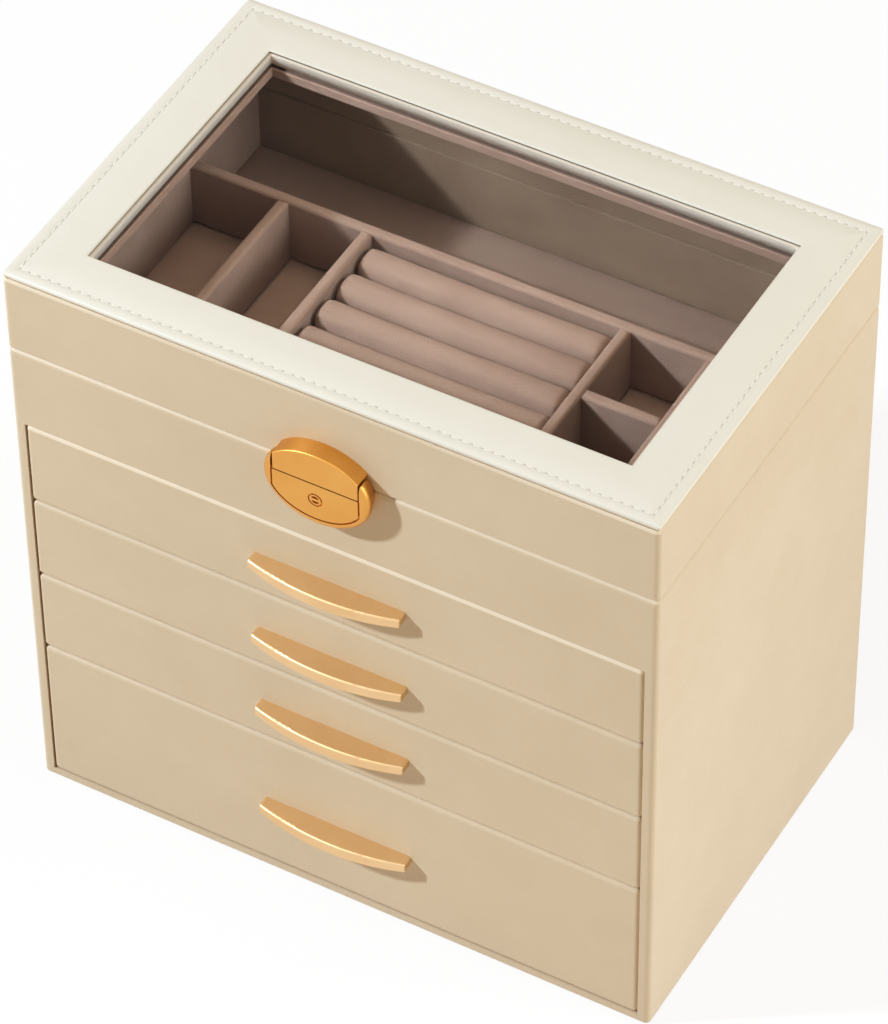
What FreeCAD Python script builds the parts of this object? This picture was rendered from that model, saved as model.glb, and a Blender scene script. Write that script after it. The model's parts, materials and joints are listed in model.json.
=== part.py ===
import FreeCAD, Part
import os
from FreeCAD import Vector

# A leather-covered jewellery box: a glass-topped lid over a velvet tray, and four drawers below it.
# Millimetres. x runs across the front, y from front to back, z up from the table under the felt.

# Overall sizes, without the pulls, the lock and the hinges
box_width = 231.0
box_depth = 150.0
box_height = 230.0
lid_height = 32.0
tray_height = 32.0
seam_gap = 0.5

# Boards and coverings
wall_board = 3.5
base_board = 2.5
shelf_board = 2.0
tray_floor_board = 3.0
leather = 0.6
edge_round = 2.0
case_foot_round = 0.8
lid_foot_round = 0.5
leather_turn_under = 8.0
felt = 0.5
felt_inset = 3.0

# Lid
window_border = 19.5
top_panel = 1.2
top_panel_inset = 0.9
top_panel_round = 0.55
window_board = 3.0
window_step = 0.8
glass = 1.0
glass_overlap = 6.0
glass_play = 0.3
ledge = 1.9
ledge_board = 3.6
ledge_round = 0.5
lid_card = 1.0

# Tray
floor_pad = 3.0
tray_card = 1.5
divider = 4.0
divider_drop = 0.8
divider_round = 1.0
rear_bay = 39.0
left_bay = 33.0
narrow_bay = 27.0
right_bay = 27.4
small_bays = 3
small_bay_width = 26.4
roll_count = 7
roll_height = 23.2
roll_gap = 0.4
roll_end_gap = 0.3
roll_tuck = 1.1
roll_end_round = 2.0

# Drawers
shallow_drawers = 3
shallow_pitch = 34.0
front_board = 6.0
front_gap = 0.6
front_side_gap = 0.3
front_round = 1.6
shelf_setback = 0.6
drawer_board = 3.0
drawer_bottom = 2.5
drawer_card = 1.0
drawer_side_gap = 0.4
drawer_lift = 0.3
drawer_head_gap = 1.5
drawer_back_gap = 0.6

# Half-moon pulls
pull_length = 55.0
pull_end_depth = 4.3
pull_mid_depth = 8.3
pull_end_height = 3.2
pull_mid_height = 4.2
pull_wall = 1.4
pull_round = 0.8
pull_rise = 0.8
pull_post_spacing = 36.0
pull_post_radius = 1.6
pull_post_drop = 2.0

# Oval lock
lock_half_width = 19.6
lock_half_height = 16.2
lock_draft = 2.0
lock_out = 6.5
lock_drop = 1.9
lock_rim_round = 2.0
hasp_half_width = 19.1
hasp_half_height = 14.3
hasp_round = 0.5
face_half_width = 16.5
face_half_height = 12.3
face_cut = 15.2
lock_gap = 0.5
groove_width = 0.6
groove_depth = 1.2
ear_height = 6.0
ear_relief = 0.5
lock_plate = 1.8
lock_screw_spread = 12.9
hasp_screw_spread = 8.0
hasp_screw_rise = 7.5
plug_drop = 6.4
plug_head_radius = 2.1
plug_head_height = 1.2
plug_radius = 1.75
plug_square = 2.4
plug_ring_width = 0.5
plug_ring_depth = 0.8
key_bar = 1.0
key_well_radius = 1.5
key_well_depth = 1.2
cam_radius = 6.3
cam_half_flat = 3.7
cam_height = 2.0
cam_gap = 0.2
prong_inside = 5.2
prong_width = 3.6
prong_height = 2.7
prong_back = 1.0
prong_lip = 1.4
prong_play = 0.45

# Hinges and screws
hinge_spacing = 130.0
hinge_width = 30.0
hinge_leaf = 1.2
hinge_leaf_height = 12.0
leaf_corner = 1.5
hinge_screw_spacing = 18.0
knuckle_radius = 2.2
knuckle_out = 2.6
knuckle_length = 10.0
knuckle_gap = 0.3
pin_radius = 1.0
pin_head_radius = 1.6
pin_head_height = 0.8
screw_radius = 1.0
screw_head_radius = 1.9
screw_head_height = 1.1
screw_tip_cover = 0.7
thread_bite = 3.0
turning_fit = 0.05

# Levels and inner faces worked out from the sizes above
half_width = box_width / 2
half_depth = box_depth / 2
core_x = half_width - leather
core_y = half_depth - leather
inner_x = core_x - wall_board
inner_y = core_y - wall_board
core_round = edge_round - leather
seam_z = box_height - lid_height
case_top = seam_z - seam_gap / 2
lid_bottom = seam_z + seam_gap / 2
drawer_top = seam_z - tray_height
base_bottom = felt + leather
base_top = base_bottom + base_board
tray_board_bottom = drawer_top + leather
tray_floor_bottom = tray_board_bottom
tray_pad_bottom = tray_floor_bottom + tray_floor_board
tray_floor = tray_pad_bottom + floor_pad
panel_bottom = box_height - top_panel
window_board_top = panel_bottom - leather
glass_top = window_board_top - window_board
glass_bottom = glass_top - glass
ledge_bottom = glass_bottom - ledge_board
window_x = half_width - window_border
window_y = half_depth - window_border
through = box_height


def centred(half):
    """The span from -half to half."""
    return (-half, half)


def block(x, y, z):
    """A box between three spans."""
    return Part.makeBox(x[1] - x[0], y[1] - y[0], z[1] - z[0], Vector(x[0], y[0], z[0]))


def lies_at(edge, axis, value):
    """True when the whole edge lies in the plane where the given axis has the given value."""
    low = getattr(edge.BoundBox, axis + "Min")
    high = getattr(edge.BoundBox, axis + "Max")
    return abs(low - value) < 1e-4 and abs(high - value) < 1e-4


def round_edges(shape, radius, wanted):
    """The shape with the edges that pass the test rounded."""
    return shape.makeFillet(radius, [edge for edge in shape.Edges if wanted(edge)])


def rounded_block(x, y, z, radius):
    """A box with every edge rounded."""
    return round_edges(block(x, y, z), radius, lambda edge: True)


def covered_block(x, y, z, radius):
    """A box with every edge rounded but those round its underside."""
    return round_edges(block(x, y, z), radius, lambda edge: not lies_at(edge, "Z", z[0]))


def footed_block(x, y, z, radius, foot_radius):
    """A box with every edge rounded, those round its underside by their own radius."""
    return round_edges(covered_block(x, y, z, radius), foot_radius, lambda edge: lies_at(edge, "Z", z[0]))


def rod_y(radius, x, z, y):
    """A cylinder along y between two depths."""
    return Part.makeCylinder(radius, y[1] - y[0], Vector(x, y[0], z), Vector(0, 1, 0))


def rod_x(radius, x, y, z):
    """A cylinder along x between two places."""
    return Part.makeCylinder(radius, x[1] - x[0], Vector(x[0], y, z), Vector(1, 0, 0))


def oval_outline(half_wide, half_high, z, y):
    """An upright ellipse, wider than it is high, centred on x = 0."""
    outline = Part.Ellipse(Vector(0, 0, 0), half_wide, half_high).toShape()
    outline.rotate(Vector(0, 0, 0), Vector(1, 0, 0), 90)
    outline.translate(Vector(0, y, z))
    return Part.Wire(outline)


def oval(half_wide, half_high, z, y):
    """An elliptical cylinder along y, centred on x = 0."""
    return Part.Face(oval_outline(half_wide, half_high, z, y[0])).extrude(Vector(0, y[1] - y[0], 0))


def mirrored(shape):
    """The same shape on the other side of the middle plane x = 0."""
    return shape.mirror(Vector(0, 0, 0), Vector(1, 0, 0))


def both_sides(shape):
    """The shape and its mirror image."""
    return [shape, mirrored(shape)]


def screw(x, z, seat, length):
    """A pan-head screw whose head stands behind its seat and whose shank points to the front."""
    head = rod_y(screw_head_radius, x, z, (seat, seat + screw_head_height))
    return head.fuse(rod_y(screw_radius, x, z, (seat - length, seat))).removeSplitter()


def screw_hole(x, z, seat, length):
    """The clearance for such a screw: its shank, and room for its head behind the seat."""
    shank_span = (seat - length - turning_fit, seat)
    head_span = (seat, seat + screw_head_height + turning_fit)
    shank = rod_y(screw_radius + turning_fit, x, z, shank_span)
    return shank.fuse(rod_y(screw_head_radius + turning_fit, x, z, head_span))


def save(name, *shapes):
    """Writes one node, made of one or more separate solids."""
    solids = [solid for shape in shapes for solid in shape.Solids]
    shape = solids[0] if len(solids) == 1 else Part.makeCompound(solids)
    shape.exportStep("parts/" + name + ".step")


os.makedirs("parts", exist_ok=True)

# Places of the screws through the front and back walls
hinge_x = hinge_spacing / 2
hinge_y = half_depth + knuckle_out
hinge_seat = half_depth + hinge_leaf
hinge_screw_length = hinge_leaf + leather + wall_board - screw_tip_cover
hinge_screw_rise = knuckle_radius + knuckle_gap + hinge_leaf_height / 2
hinge_screw_places = []
for side in (-1, 1):
    for step in (-1, 1):
        hinge_screw_places.append(side * hinge_x + step * hinge_screw_spacing / 2)
wall_screw_seat = -inner_y - screw_head_height - turning_fit
wall_screw_length = half_depth + wall_screw_seat + thread_bite
plug_z = seam_z - plug_drop
hasp_screw_z = seam_z + hasp_screw_rise


def hinge_screw_holes(z):
    """The pilot holes of one row of hinge screws."""
    holes = [screw_hole(x, z, hinge_seat, hinge_screw_length) for x in hinge_screw_places]
    return Part.makeCompound(holes)


def front_screw_holes(spread, z):
    """The holes of two screws through the front wall, from the inside."""
    return Part.makeCompound(both_sides(screw_hole(spread, z, wall_screw_seat, wall_screw_length)))


# Case: the boards fill one rounded core, and the leather is the skin between that core and the outside
case_rise = (felt, case_top)
case_outside = footed_block(centred(half_width), centred(half_depth), case_rise, edge_round, case_foot_round)
case_core = covered_block(centred(core_x), centred(core_y), (base_bottom, case_top - leather), core_round)
case_hinge_holes = hinge_screw_holes(seam_z - hinge_screw_rise)
lock_base_holes = front_screw_holes(lock_screw_spread, plug_z)
wall_rise = (base_top, case_top)
inner_span_x = centred(inner_x)
inner_span_y = centred(inner_y)

underside = block(centred(core_x - leather_turn_under), centred(core_y - leather_turn_under), (0, base_bottom))
mouth = block(inner_span_x, inner_span_y, (case_top - edge_round, case_top + leather))
drawer_window = block(inner_span_x, (-half_depth, -core_y), (base_top, drawer_top))
tray_front_hem = block(inner_span_x, (-core_y, -inner_y), (drawer_top, tray_board_bottom))
case_leather = case_outside.cut(case_core).cut(underside).cut(mouth).cut(drawer_window).fuse(tray_front_hem)
save("case_leather", case_leather.removeSplitter().cut(case_hinge_holes).cut(lock_base_holes))

save("base_felt", block(centred(half_width - felt_inset), centred(half_depth - felt_inset), (0, felt)))
save("base_panel", case_core.common(block(centred(half_width), centred(half_depth), (base_bottom, base_top))))
right_wall = case_core.common(block((inner_x, half_width), centred(half_depth), wall_rise))
save("right_side_panel", right_wall)
save("left_side_panel", mirrored(right_wall))
back_wall = case_core.common(block(inner_span_x, (inner_y, half_depth), wall_rise))
save("back_panel", back_wall.cut(case_hinge_holes))
front_wall = case_core.common(block(inner_span_x, (-half_depth, -inner_y), (tray_board_bottom, case_top)))
save("tray_front_panel", front_wall.cut(lock_base_holes))
save("tray_floor_panel", block(inner_span_x, inner_span_y, (tray_floor_bottom, tray_pad_bottom)))

drawer_lines = [drawer_top - step * shallow_pitch for step in range(shallow_drawers + 1)]
shelf_front = -half_depth + front_board + shelf_setback
shelves = []
for line in drawer_lines[1:]:
    shelf_rise = (line - shelf_board / 2, line + shelf_board / 2)
    shelves.append(block(inner_span_x, (shelf_front, inner_y), shelf_rise))
save("drawer_shelves", *shelves)

# Tray: a padded floor, carded walls, dividers and a block of ring rolls
tray_x = inner_x - tray_card
tray_y = inner_y - tray_card
divider_rise = (tray_floor, case_top - divider_drop)
card_rise = (tray_pad_bottom, case_top)
save("tray_floor_pad", block(centred(tray_x), centred(tray_y), (tray_pad_bottom, tray_floor)))
side_card = block((tray_x, inner_x), inner_span_y, card_rise)
rear_card = block(centred(tray_x), (tray_y, inner_y), card_rise)
front_card = block(centred(tray_x), (-inner_y, -tray_y), card_rise)
save("tray_wall_cards", rear_card, front_card, *both_sides(side_card))


def divider_board(x, y):
    """A velvet-covered divider with a softened top."""
    board = block(x, y, divider_rise)
    return round_edges(board, divider_round, lambda edge: lies_at(edge, "Z", divider_rise[1]))


long_divider_y = tray_y - rear_bay - divider
left_divider_x = -tray_x + left_bay
ring_divider_x = left_divider_x + divider + narrow_bay
end_divider_x = tray_x - right_bay - divider
right_divider_x = end_divider_x - small_bay_width - divider
ring_bay_x = (ring_divider_x + divider, right_divider_x)
small_bay_x = (right_divider_x + divider, end_divider_x)
front_bays = (-tray_y, long_divider_y)
save("tray_long_divider", divider_board(centred(tray_x), (long_divider_y, long_divider_y + divider)))
cross_places = (left_divider_x, ring_divider_x, right_divider_x, end_divider_x)
save("tray_cross_dividers", *[divider_board((x, x + divider), front_bays) for x in cross_places])
small_bay = (front_bays[1] - front_bays[0] - (small_bays - 1) * divider) / small_bays
small_dividers = []
for step in range(1, small_bays):
    small_y = front_bays[0] + step * small_bay + (step - 1) * divider
    small_dividers.append(divider_board(small_bay_x, (small_y, small_y + divider)))
save("tray_small_dividers", *small_dividers)

roll_x = (ring_bay_x[0] + roll_end_gap, ring_bay_x[1] - roll_end_gap)
roll_pitch = (front_bays[1] - front_bays[0] - 2 * roll_end_gap) / roll_count


def ring_roll(y):
    """A stuffed roll: tucked in at the floor, round on top, with soft ends."""
    half = (roll_pitch - roll_gap) / 2
    shoulder = roll_height - half
    foot_left = Vector(roll_x[0], y - half + roll_tuck, tray_floor)
    foot_right = Vector(roll_x[0], y + half - roll_tuck, tray_floor)
    left = Vector(roll_x[0], y - half, tray_floor + shoulder)
    right = Vector(roll_x[0], y + half, tray_floor + shoulder)
    crown = Vector(roll_x[0], y, tray_floor + roll_height)
    slope = half * 0.5 ** 0.5
    left_bend = Vector(roll_x[0], y - slope, tray_floor + shoulder + slope)
    right_bend = Vector(roll_x[0], y + slope, tray_floor + shoulder + slope)
    left_belly = Vector(roll_x[0], y - half + roll_tuck / 4, tray_floor + shoulder / 2)
    right_belly = Vector(roll_x[0], y + half - roll_tuck / 4, tray_floor + shoulder / 2)
    outline = [
        Part.LineSegment(foot_left, foot_right).toShape(),
        Part.Arc(foot_right, right_belly, right).toShape(),
        Part.Arc(right, right_bend, crown).toShape(),
        Part.Arc(crown, left_bend, left).toShape(),
        Part.Arc(left, left_belly, foot_left).toShape(),
    ]
    roll = Part.Face(Part.Wire(outline)).extrude(Vector(roll_x[1] - roll_x[0], 0, 0))
    ends = [edge for edge in roll.Edges if lies_at(edge, "X", roll_x[0]) or lies_at(edge, "X", roll_x[1])]
    return roll.makeFillet(roll_end_round, [edge for edge in ends if not lies_at(edge, "Z", tray_floor)])


roll_places = [front_bays[0] + roll_end_gap + (step + 0.5) * roll_pitch for step in range(roll_count)]
save("ring_rolls", *[ring_roll(y) for y in roll_places])

# Lid: rails and a board round the window make its core, with leather over them and a stitched panel on top
lid_rise = (lid_bottom, panel_bottom)
lid_outside = footed_block(centred(half_width), centred(half_depth), lid_rise, edge_round, lid_foot_round)
lid_core = covered_block(centred(core_x), centred(core_y), (lid_bottom + leather, window_board_top), core_round)
lid_hinge_holes = hinge_screw_holes(seam_z + hinge_screw_rise)
hasp_holes = front_screw_holes(hasp_screw_spread, hasp_screw_z)
step_x = window_x - window_step
step_y = window_y - window_step
board_hole = block(centred(step_x + leather), centred(step_y + leather), (glass_top, panel_bottom))
window_hole = block(centred(step_x), centred(step_y), (lid_bottom, box_height))
lid_mouth = block(inner_span_x, inner_span_y, (lid_bottom, glass_top))

lid_boards = lid_core.cut(lid_mouth).cut(board_hole)
lid_leather = lid_outside.cut(lid_boards).cut(lid_mouth).cut(window_hole)
save("lid_leather", lid_leather.cut(lid_hinge_holes).cut(hasp_holes))
save("lid_window_board", lid_boards.common(block(centred(core_x), centred(core_y), (glass_top, panel_bottom))))
rail_rise = (lid_bottom, glass_top)
lid_front = lid_boards.common(block(centred(half_width), (-half_depth, -inner_y), rail_rise))
lid_back = lid_boards.common(block(centred(half_width), (inner_y, half_depth), rail_rise))
lid_right = lid_boards.common(block((inner_x, half_width), inner_span_y, rail_rise))
save("lid_front_rail", lid_front.cut(hasp_holes))
save("lid_back_rail", lid_back.cut(lid_hinge_holes))
save("lid_side_rails", *both_sides(lid_right))

panel_x = half_width - top_panel_inset
panel_y = half_depth - top_panel_inset
panel = rounded_block(centred(panel_x), centred(panel_y), (panel_bottom, box_height), top_panel_round)
panel = panel.cut(block(centred(window_x), centred(window_y), (panel_bottom, box_height)))


def on_panel_window(edge):
    """True for the four top edges round the window."""
    bounds = edge.BoundBox
    within_x = max(abs(bounds.XMin), abs(bounds.XMax)) < window_x + top_panel_round
    within_y = max(abs(bounds.YMin), abs(bounds.YMax)) < window_y + top_panel_round
    return within_x and within_y and lies_at(edge, "Z", box_height)


save("lid_top_panel", round_edges(panel, top_panel_round, on_panel_window))

glass_x = window_x + glass_overlap
glass_y = window_y + glass_overlap
save("window_glass", block(centred(glass_x), centred(glass_y), (glass_bottom, glass_top)))
ledge_x = window_x - ledge
ledge_y = window_y - ledge
retainer = block(inner_span_x, inner_span_y, (ledge_bottom, glass_top))
glass_pocket = block(centred(glass_x + glass_play), centred(glass_y + glass_play), (glass_bottom, glass_top))
ledge_hole = block(centred(ledge_x), centred(ledge_y), (ledge_bottom, glass_top))
retainer = retainer.cut(glass_pocket).cut(ledge_hole)


def on_ledge(edge):
    """True for the edges round the ledge's opening that are seen from above or below."""
    bounds = edge.BoundBox
    within_x = max(abs(bounds.XMin), abs(bounds.XMax)) < ledge_x + ledge_round
    within_y = max(abs(bounds.YMin), abs(bounds.YMax)) < ledge_y + ledge_round
    level = lies_at(edge, "Z", glass_bottom) or lies_at(edge, "Z", ledge_bottom)
    return within_x and within_y and level


save("glass_retainer", round_edges(retainer, ledge_round, on_ledge))
lid_card_rise = (lid_bottom, ledge_bottom)
lid_side_card = block((inner_x - lid_card, inner_x), inner_span_y, lid_card_rise)
lid_rear_card = block(centred(inner_x - lid_card), (inner_y - lid_card, inner_y), lid_card_rise)
lid_front_card = block(centred(inner_x - lid_card), (-inner_y, lid_card - inner_y), lid_card_rise)
save("lid_lining", lid_rear_card, lid_front_card, *both_sides(lid_side_card))

# Lock: an oval in two halves, with a double-flat cam that turns into the notches of the hasp's prongs
lock_z = seam_z - lock_drop
lock_front = -half_depth - lock_out
lock_span = (lock_front, -half_depth)
hasp_bottom = seam_z + lock_gap
cavity_front = lock_front + lock_plate
cavity_span = (cavity_front, -half_depth)
notch_radius = cam_radius + cam_gap
prong_outside = prong_inside + prong_width
prong_tip = plug_z - (notch_radius ** 2 - prong_inside ** 2) ** 0.5 - prong_lip
prong_span = (-half_depth - prong_back - prong_height, -half_depth - prong_back)


def cut_oval(half_wide, half_high, margin, span):
    """An oval with its two ends cut off, grown by a margin."""
    whole = oval(half_wide + margin, half_high + margin, lock_z, span)
    return whole.common(block(centred(face_cut + margin), span, (lock_z - through, lock_z + through)))


front_outline = oval_outline(lock_half_width, lock_half_height, lock_z, lock_front)
back_outline = oval_outline(lock_half_width - lock_draft, lock_half_height - lock_draft, lock_z, -half_depth)
lock_body = Part.makeLoft([front_outline, back_outline], True, True)
lock_body = round_edges(lock_body, lock_rim_round, lambda edge: lies_at(edge, "Y", lock_front))
groove_span = (lock_front, lock_front + groove_depth)
groove = cut_oval(face_half_width, face_half_height, groove_width, groove_span)
groove = groove.cut(cut_oval(face_half_width, face_half_height, 0, groove_span))
groove = groove.common(block(centred(through), groove_span, (0, seam_z)))
hasp_room = block(centred(face_cut + lock_gap), lock_span, (seam_z, seam_z + through))
above_ears = block(centred(through), lock_span, (seam_z + ear_height, seam_z + through))
behind_ears = block(centred(through), (-half_depth - ear_relief, -half_depth), (case_top, seam_z + through))
prong_room = block(centred(prong_outside + prong_play), cavity_span, (prong_tip - prong_play, seam_z))
cam_room = rod_y(notch_radius, 0, plug_z, cavity_span)
plug_bore = rod_y(plug_radius + turning_fit, 0, plug_z, (lock_front, cavity_front))
plug_seat = rod_y(plug_head_radius + turning_fit, 0, plug_z, (lock_front, lock_front + plug_head_height))
plug_ring = rod_y(plug_head_radius + plug_ring_width, 0, plug_z, (lock_front, lock_front + plug_ring_depth))
lock_base = lock_body.cut(groove).cut(hasp_room).cut(above_ears).cut(behind_ears)
lock_base = lock_base.cut(prong_room).cut(cam_room).cut(lock_base_holes)
lock_base = lock_base.cut(plug_bore).cut(plug_seat).cut(plug_ring)
save("lock_base", lock_base)
base_screws = both_sides(screw(lock_screw_spread, plug_z, wall_screw_seat, wall_screw_length))
save("lock_base_screws", *base_screws)

above_seam = block(centred(through), lock_span, (hasp_bottom, seam_z + through))
hasp = cut_oval(hasp_half_width, hasp_half_height, 0, lock_span).common(above_seam)
hasp_front_edges = [edge for edge in hasp.Edges if lies_at(edge, "Y", lock_front)]
hasp = hasp.makeFillet(hasp_round, [edge for edge in hasp_front_edges if not lies_at(edge, "Z", hasp_bottom)])
prong = block((prong_inside, prong_outside), prong_span, (prong_tip, hasp_bottom + lock_plate))
notch = rod_y(notch_radius, 0, plug_z, lock_span)
for side_prong in both_sides(prong.cut(notch)):
    hasp = hasp.fuse(side_prong)
save("lock_hasp", hasp.removeSplitter().cut(hasp_holes))
hasp_screws = both_sides(screw(hasp_screw_spread, hasp_screw_z, wall_screw_seat, wall_screw_length))
save("lock_hasp_screws", *hasp_screws)

cam_front = cavity_front + cam_gap
cam_span = (cam_front, cam_front + cam_height)
plug_head = rod_y(plug_head_radius, 0, plug_z, (lock_front, lock_front + plug_head_height))
plug_neck = rod_y(plug_radius, 0, plug_z, (lock_front + plug_head_height, cam_front))
square_rise = (plug_z - plug_square / 2, plug_z + plug_square / 2)
plug_tail = block(centred(plug_square / 2), cam_span, square_rise)
key_well_span = (lock_front, lock_front + key_well_depth)
key_bar_rise = (plug_z - key_bar / 2, plug_z + key_bar / 2)
key_well = rod_y(key_well_radius, 0, plug_z, key_well_span)
key_well = key_well.cut(block(centred(key_well_radius), key_well_span, key_bar_rise))
save("lock_plug", plug_head.fuse(plug_neck).fuse(plug_tail).removeSplitter().cut(key_well))
cam = rod_y(cam_radius, 0, plug_z, cam_span)
cam = cam.common(block(centred(cam_half_flat), cam_span, (plug_z - through, plug_z + through)))
hole_half = plug_square / 2 + turning_fit
hole_rise = (plug_z - hole_half, plug_z + hole_half)
save("lock_cam", cam.cut(block(centred(hole_half), cam_span, hole_rise)))

# Hinges: two leaves on the back, three knuckles each, on a headed pin
leaf_span = (half_depth, hinge_seat)
leaf_start = knuckle_radius + knuckle_gap
middle_half = knuckle_length / 2
pin_bore_radius = pin_radius + turning_fit


def hinge_leaf_with(x, up, knuckles):
    """One leaf, above the pin when up is 1 and below it when up is -1: a flat, its knuckles and their webs."""
    near = seam_z + up * leaf_start
    far = near + up * hinge_leaf_height
    leaf = block((x - hinge_width / 2, x + hinge_width / 2), leaf_span, (min(near, far), max(near, far)))
    far_edges = [edge for edge in leaf.Edges if lies_at(edge, "Z", far)]
    leaf = leaf.makeFillet(leaf_corner, [edge for edge in far_edges if edge.BoundBox.XLength < leaf_corner])
    for start, end in knuckles:
        web = block((x + start, x + end), leaf_span, (min(seam_z, near), max(seam_z, near)))
        leaf = leaf.fuse(web).fuse(rod_x(knuckle_radius, (x + start, x + end), hinge_y, seam_z))
    bore = rod_x(pin_bore_radius, (x - hinge_width, x + hinge_width), hinge_y, seam_z)
    return leaf.removeSplitter().cut(bore)


def hinge_pin(x):
    """A plain pin with a rounded head at each end."""
    pin = rod_x(pin_radius, (x - hinge_width / 2, x + hinge_width / 2), hinge_y, seam_z)
    for end in (-1, 1):
        edge_x = x + end * hinge_width / 2
        head_x = (min(edge_x, edge_x + end * pin_head_height), max(edge_x, edge_x + end * pin_head_height))
        pin = pin.fuse(rod_x(pin_head_radius, head_x, hinge_y, seam_z))
    return pin.removeSplitter()


outer_knuckles = [(-hinge_width / 2, -middle_half - knuckle_gap), (middle_half + knuckle_gap, hinge_width / 2)]
case_leaf = hinge_leaf_with(hinge_x, -1, outer_knuckles).cut(case_hinge_holes)
lid_leaf = hinge_leaf_with(hinge_x, 1, [(-middle_half, middle_half)]).cut(lid_hinge_holes)
save("hinge_case_leaves", *both_sides(case_leaf))
save("hinge_lid_leaves", *both_sides(lid_leaf))
save("hinge_pins", *both_sides(hinge_pin(hinge_x)))
case_screw_z = seam_z - hinge_screw_rise
lid_screw_z = seam_z + hinge_screw_rise
save("hinge_case_screws", *[screw(x, case_screw_z, hinge_seat, hinge_screw_length) for x in hinge_screw_places])
save("hinge_lid_screws", *[screw(x, lid_screw_z, hinge_seat, hinge_screw_length) for x in hinge_screw_places])


# Drawers: a covered front flush with the case, an open box behind it, a lining and a half-moon pull
front_back = -half_depth + front_board
front_x = inner_x - front_side_gap
drawer_x = inner_x - drawer_side_gap
drawer_rear = inner_y - drawer_back_gap
lined_x = drawer_x - drawer_board
lined_rear = drawer_rear - drawer_board
pull_screw_seat = front_back - screw_head_height - turning_fit
pull_screw_length = half_depth + pull_screw_seat + thread_bite
post_x = pull_post_spacing / 2


def half_moon(length, end_depth, mid_depth, back, z):
    """A flat half-moon: straight at the back, bowed at the front."""
    half = length / 2
    back_left = Vector(-half, back, z[0])
    back_right = Vector(half, back, z[0])
    front_left = Vector(-half, -half_depth - end_depth, z[0])
    front_right = Vector(half, -half_depth - end_depth, z[0])
    middle = Vector(0, -half_depth - mid_depth, z[0])
    outline = [
        Part.LineSegment(back_left, back_right).toShape(),
        Part.LineSegment(back_right, front_right).toShape(),
        Part.Arc(front_right, middle, front_left).toShape(),
        Part.LineSegment(front_left, back_left).toShape(),
    ]
    return Part.Face(Part.Wire(outline)).extrude(Vector(0, 0, z[1] - z[0]))


def arched_band(top):
    """What lies between the pull's flat top and its arched underside, as deep as the whole pull."""
    half = pull_length / 2
    front = -half_depth - pull_mid_depth
    top_left = Vector(-half, front, top)
    top_right = Vector(half, front, top)
    end_left = Vector(-half, front, top - pull_end_height)
    end_right = Vector(half, front, top - pull_end_height)
    middle = Vector(0, front, top - pull_mid_height)
    outline = [
        Part.LineSegment(top_left, top_right).toShape(),
        Part.LineSegment(top_right, end_right).toShape(),
        Part.Arc(end_right, middle, end_left).toShape(),
        Part.LineSegment(end_left, top_left).toShape(),
    ]
    return Part.Face(Part.Wire(outline)).extrude(Vector(0, pull_mid_depth, 0))


def pull(top):
    """A cast half-moon pull, hollow below so that a fingertip hooks behind its lip."""
    bottom = top - pull_mid_height
    body = half_moon(pull_length, pull_end_depth, pull_mid_depth, -half_depth, (bottom, top))
    free_edges = [edge for edge in body.Edges if not lies_at(edge, "Y", -half_depth)]
    body = body.makeFillet(pull_round, [edge for edge in free_edges if not lies_at(edge, "Z", bottom)])
    hollow = half_moon(pull_length - 2 * pull_wall, pull_end_depth - pull_wall, pull_mid_depth - pull_wall,
                       -half_depth - pull_wall, (bottom, top - pull_wall))
    post = rod_y(pull_post_radius, post_x, top - pull_post_drop, (-half_depth - pull_end_depth, -half_depth))
    body = body.common(arched_band(top)).cut(hollow)
    for side_post in both_sides(post):
        body = body.fuse(side_post)
    return body.removeSplitter()


def save_drawer(number, floor, ceiling, front_bottom, front_top):
    """One drawer, from the floor it slides on to the ceiling over it."""
    name = "drawer_%d_" % number
    middle = (front_bottom + front_top) / 2
    pull_top = middle + pull_rise
    pull_screw_z = pull_top - pull_post_drop
    pull_hole = screw_hole(post_x, pull_screw_z, pull_screw_seat, pull_screw_length)
    pull_holes = Part.makeCompound(both_sides(pull_hole))
    front = block(centred(front_x), (-half_depth, front_back), (front_bottom, front_top))
    front = round_edges(front, front_round, lambda edge: not lies_at(edge, "Y", front_back))
    save(name + "front", front.cut(pull_holes))
    save(name + "pull", pull(pull_top).cut(pull_holes))
    save(name + "pull_screws", *both_sides(screw(post_x, pull_screw_z, pull_screw_seat, pull_screw_length)))

    box_bottom = floor + drawer_lift
    wall_bottom = box_bottom + drawer_bottom
    wall_top = ceiling - drawer_head_gap
    rise = (wall_bottom, wall_top)
    save(name + "bottom", block(centred(drawer_x), (front_back, drawer_rear), (box_bottom, wall_bottom)))
    side_board = block((lined_x, drawer_x), (front_back, drawer_rear), rise)
    save(name + "walls", block(centred(lined_x), (lined_rear, drawer_rear), rise), *both_sides(side_board))

    card_x = lined_x - drawer_card
    floor_card = block(centred(lined_x), (front_back, lined_rear), (wall_bottom, wall_bottom + drawer_card))
    card_z = (wall_bottom + drawer_card, wall_top)
    side_lining = block((card_x, lined_x), (front_back, lined_rear), card_z)
    rear_lining = block(centred(card_x), (lined_rear - drawer_card, lined_rear), card_z)
    front_lining = block(centred(card_x), (front_back, front_back + drawer_card), card_z)
    save(name + "lining", floor_card, rear_lining, front_lining, *both_sides(side_lining))


for number in range(1, shallow_drawers + 2):
    line_above = drawer_lines[number - 1]
    is_top = number == 1
    is_deep = number == shallow_drawers + 1
    ceiling = tray_floor_bottom if is_top else line_above - shelf_board / 2
    floor = base_top if is_deep else drawer_lines[number] + shelf_board / 2
    line_below = base_top if is_deep else drawer_lines[number]
    save_drawer(number, floor, ceiling, line_below + front_gap / 2, line_above - front_gap / 2)
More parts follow.
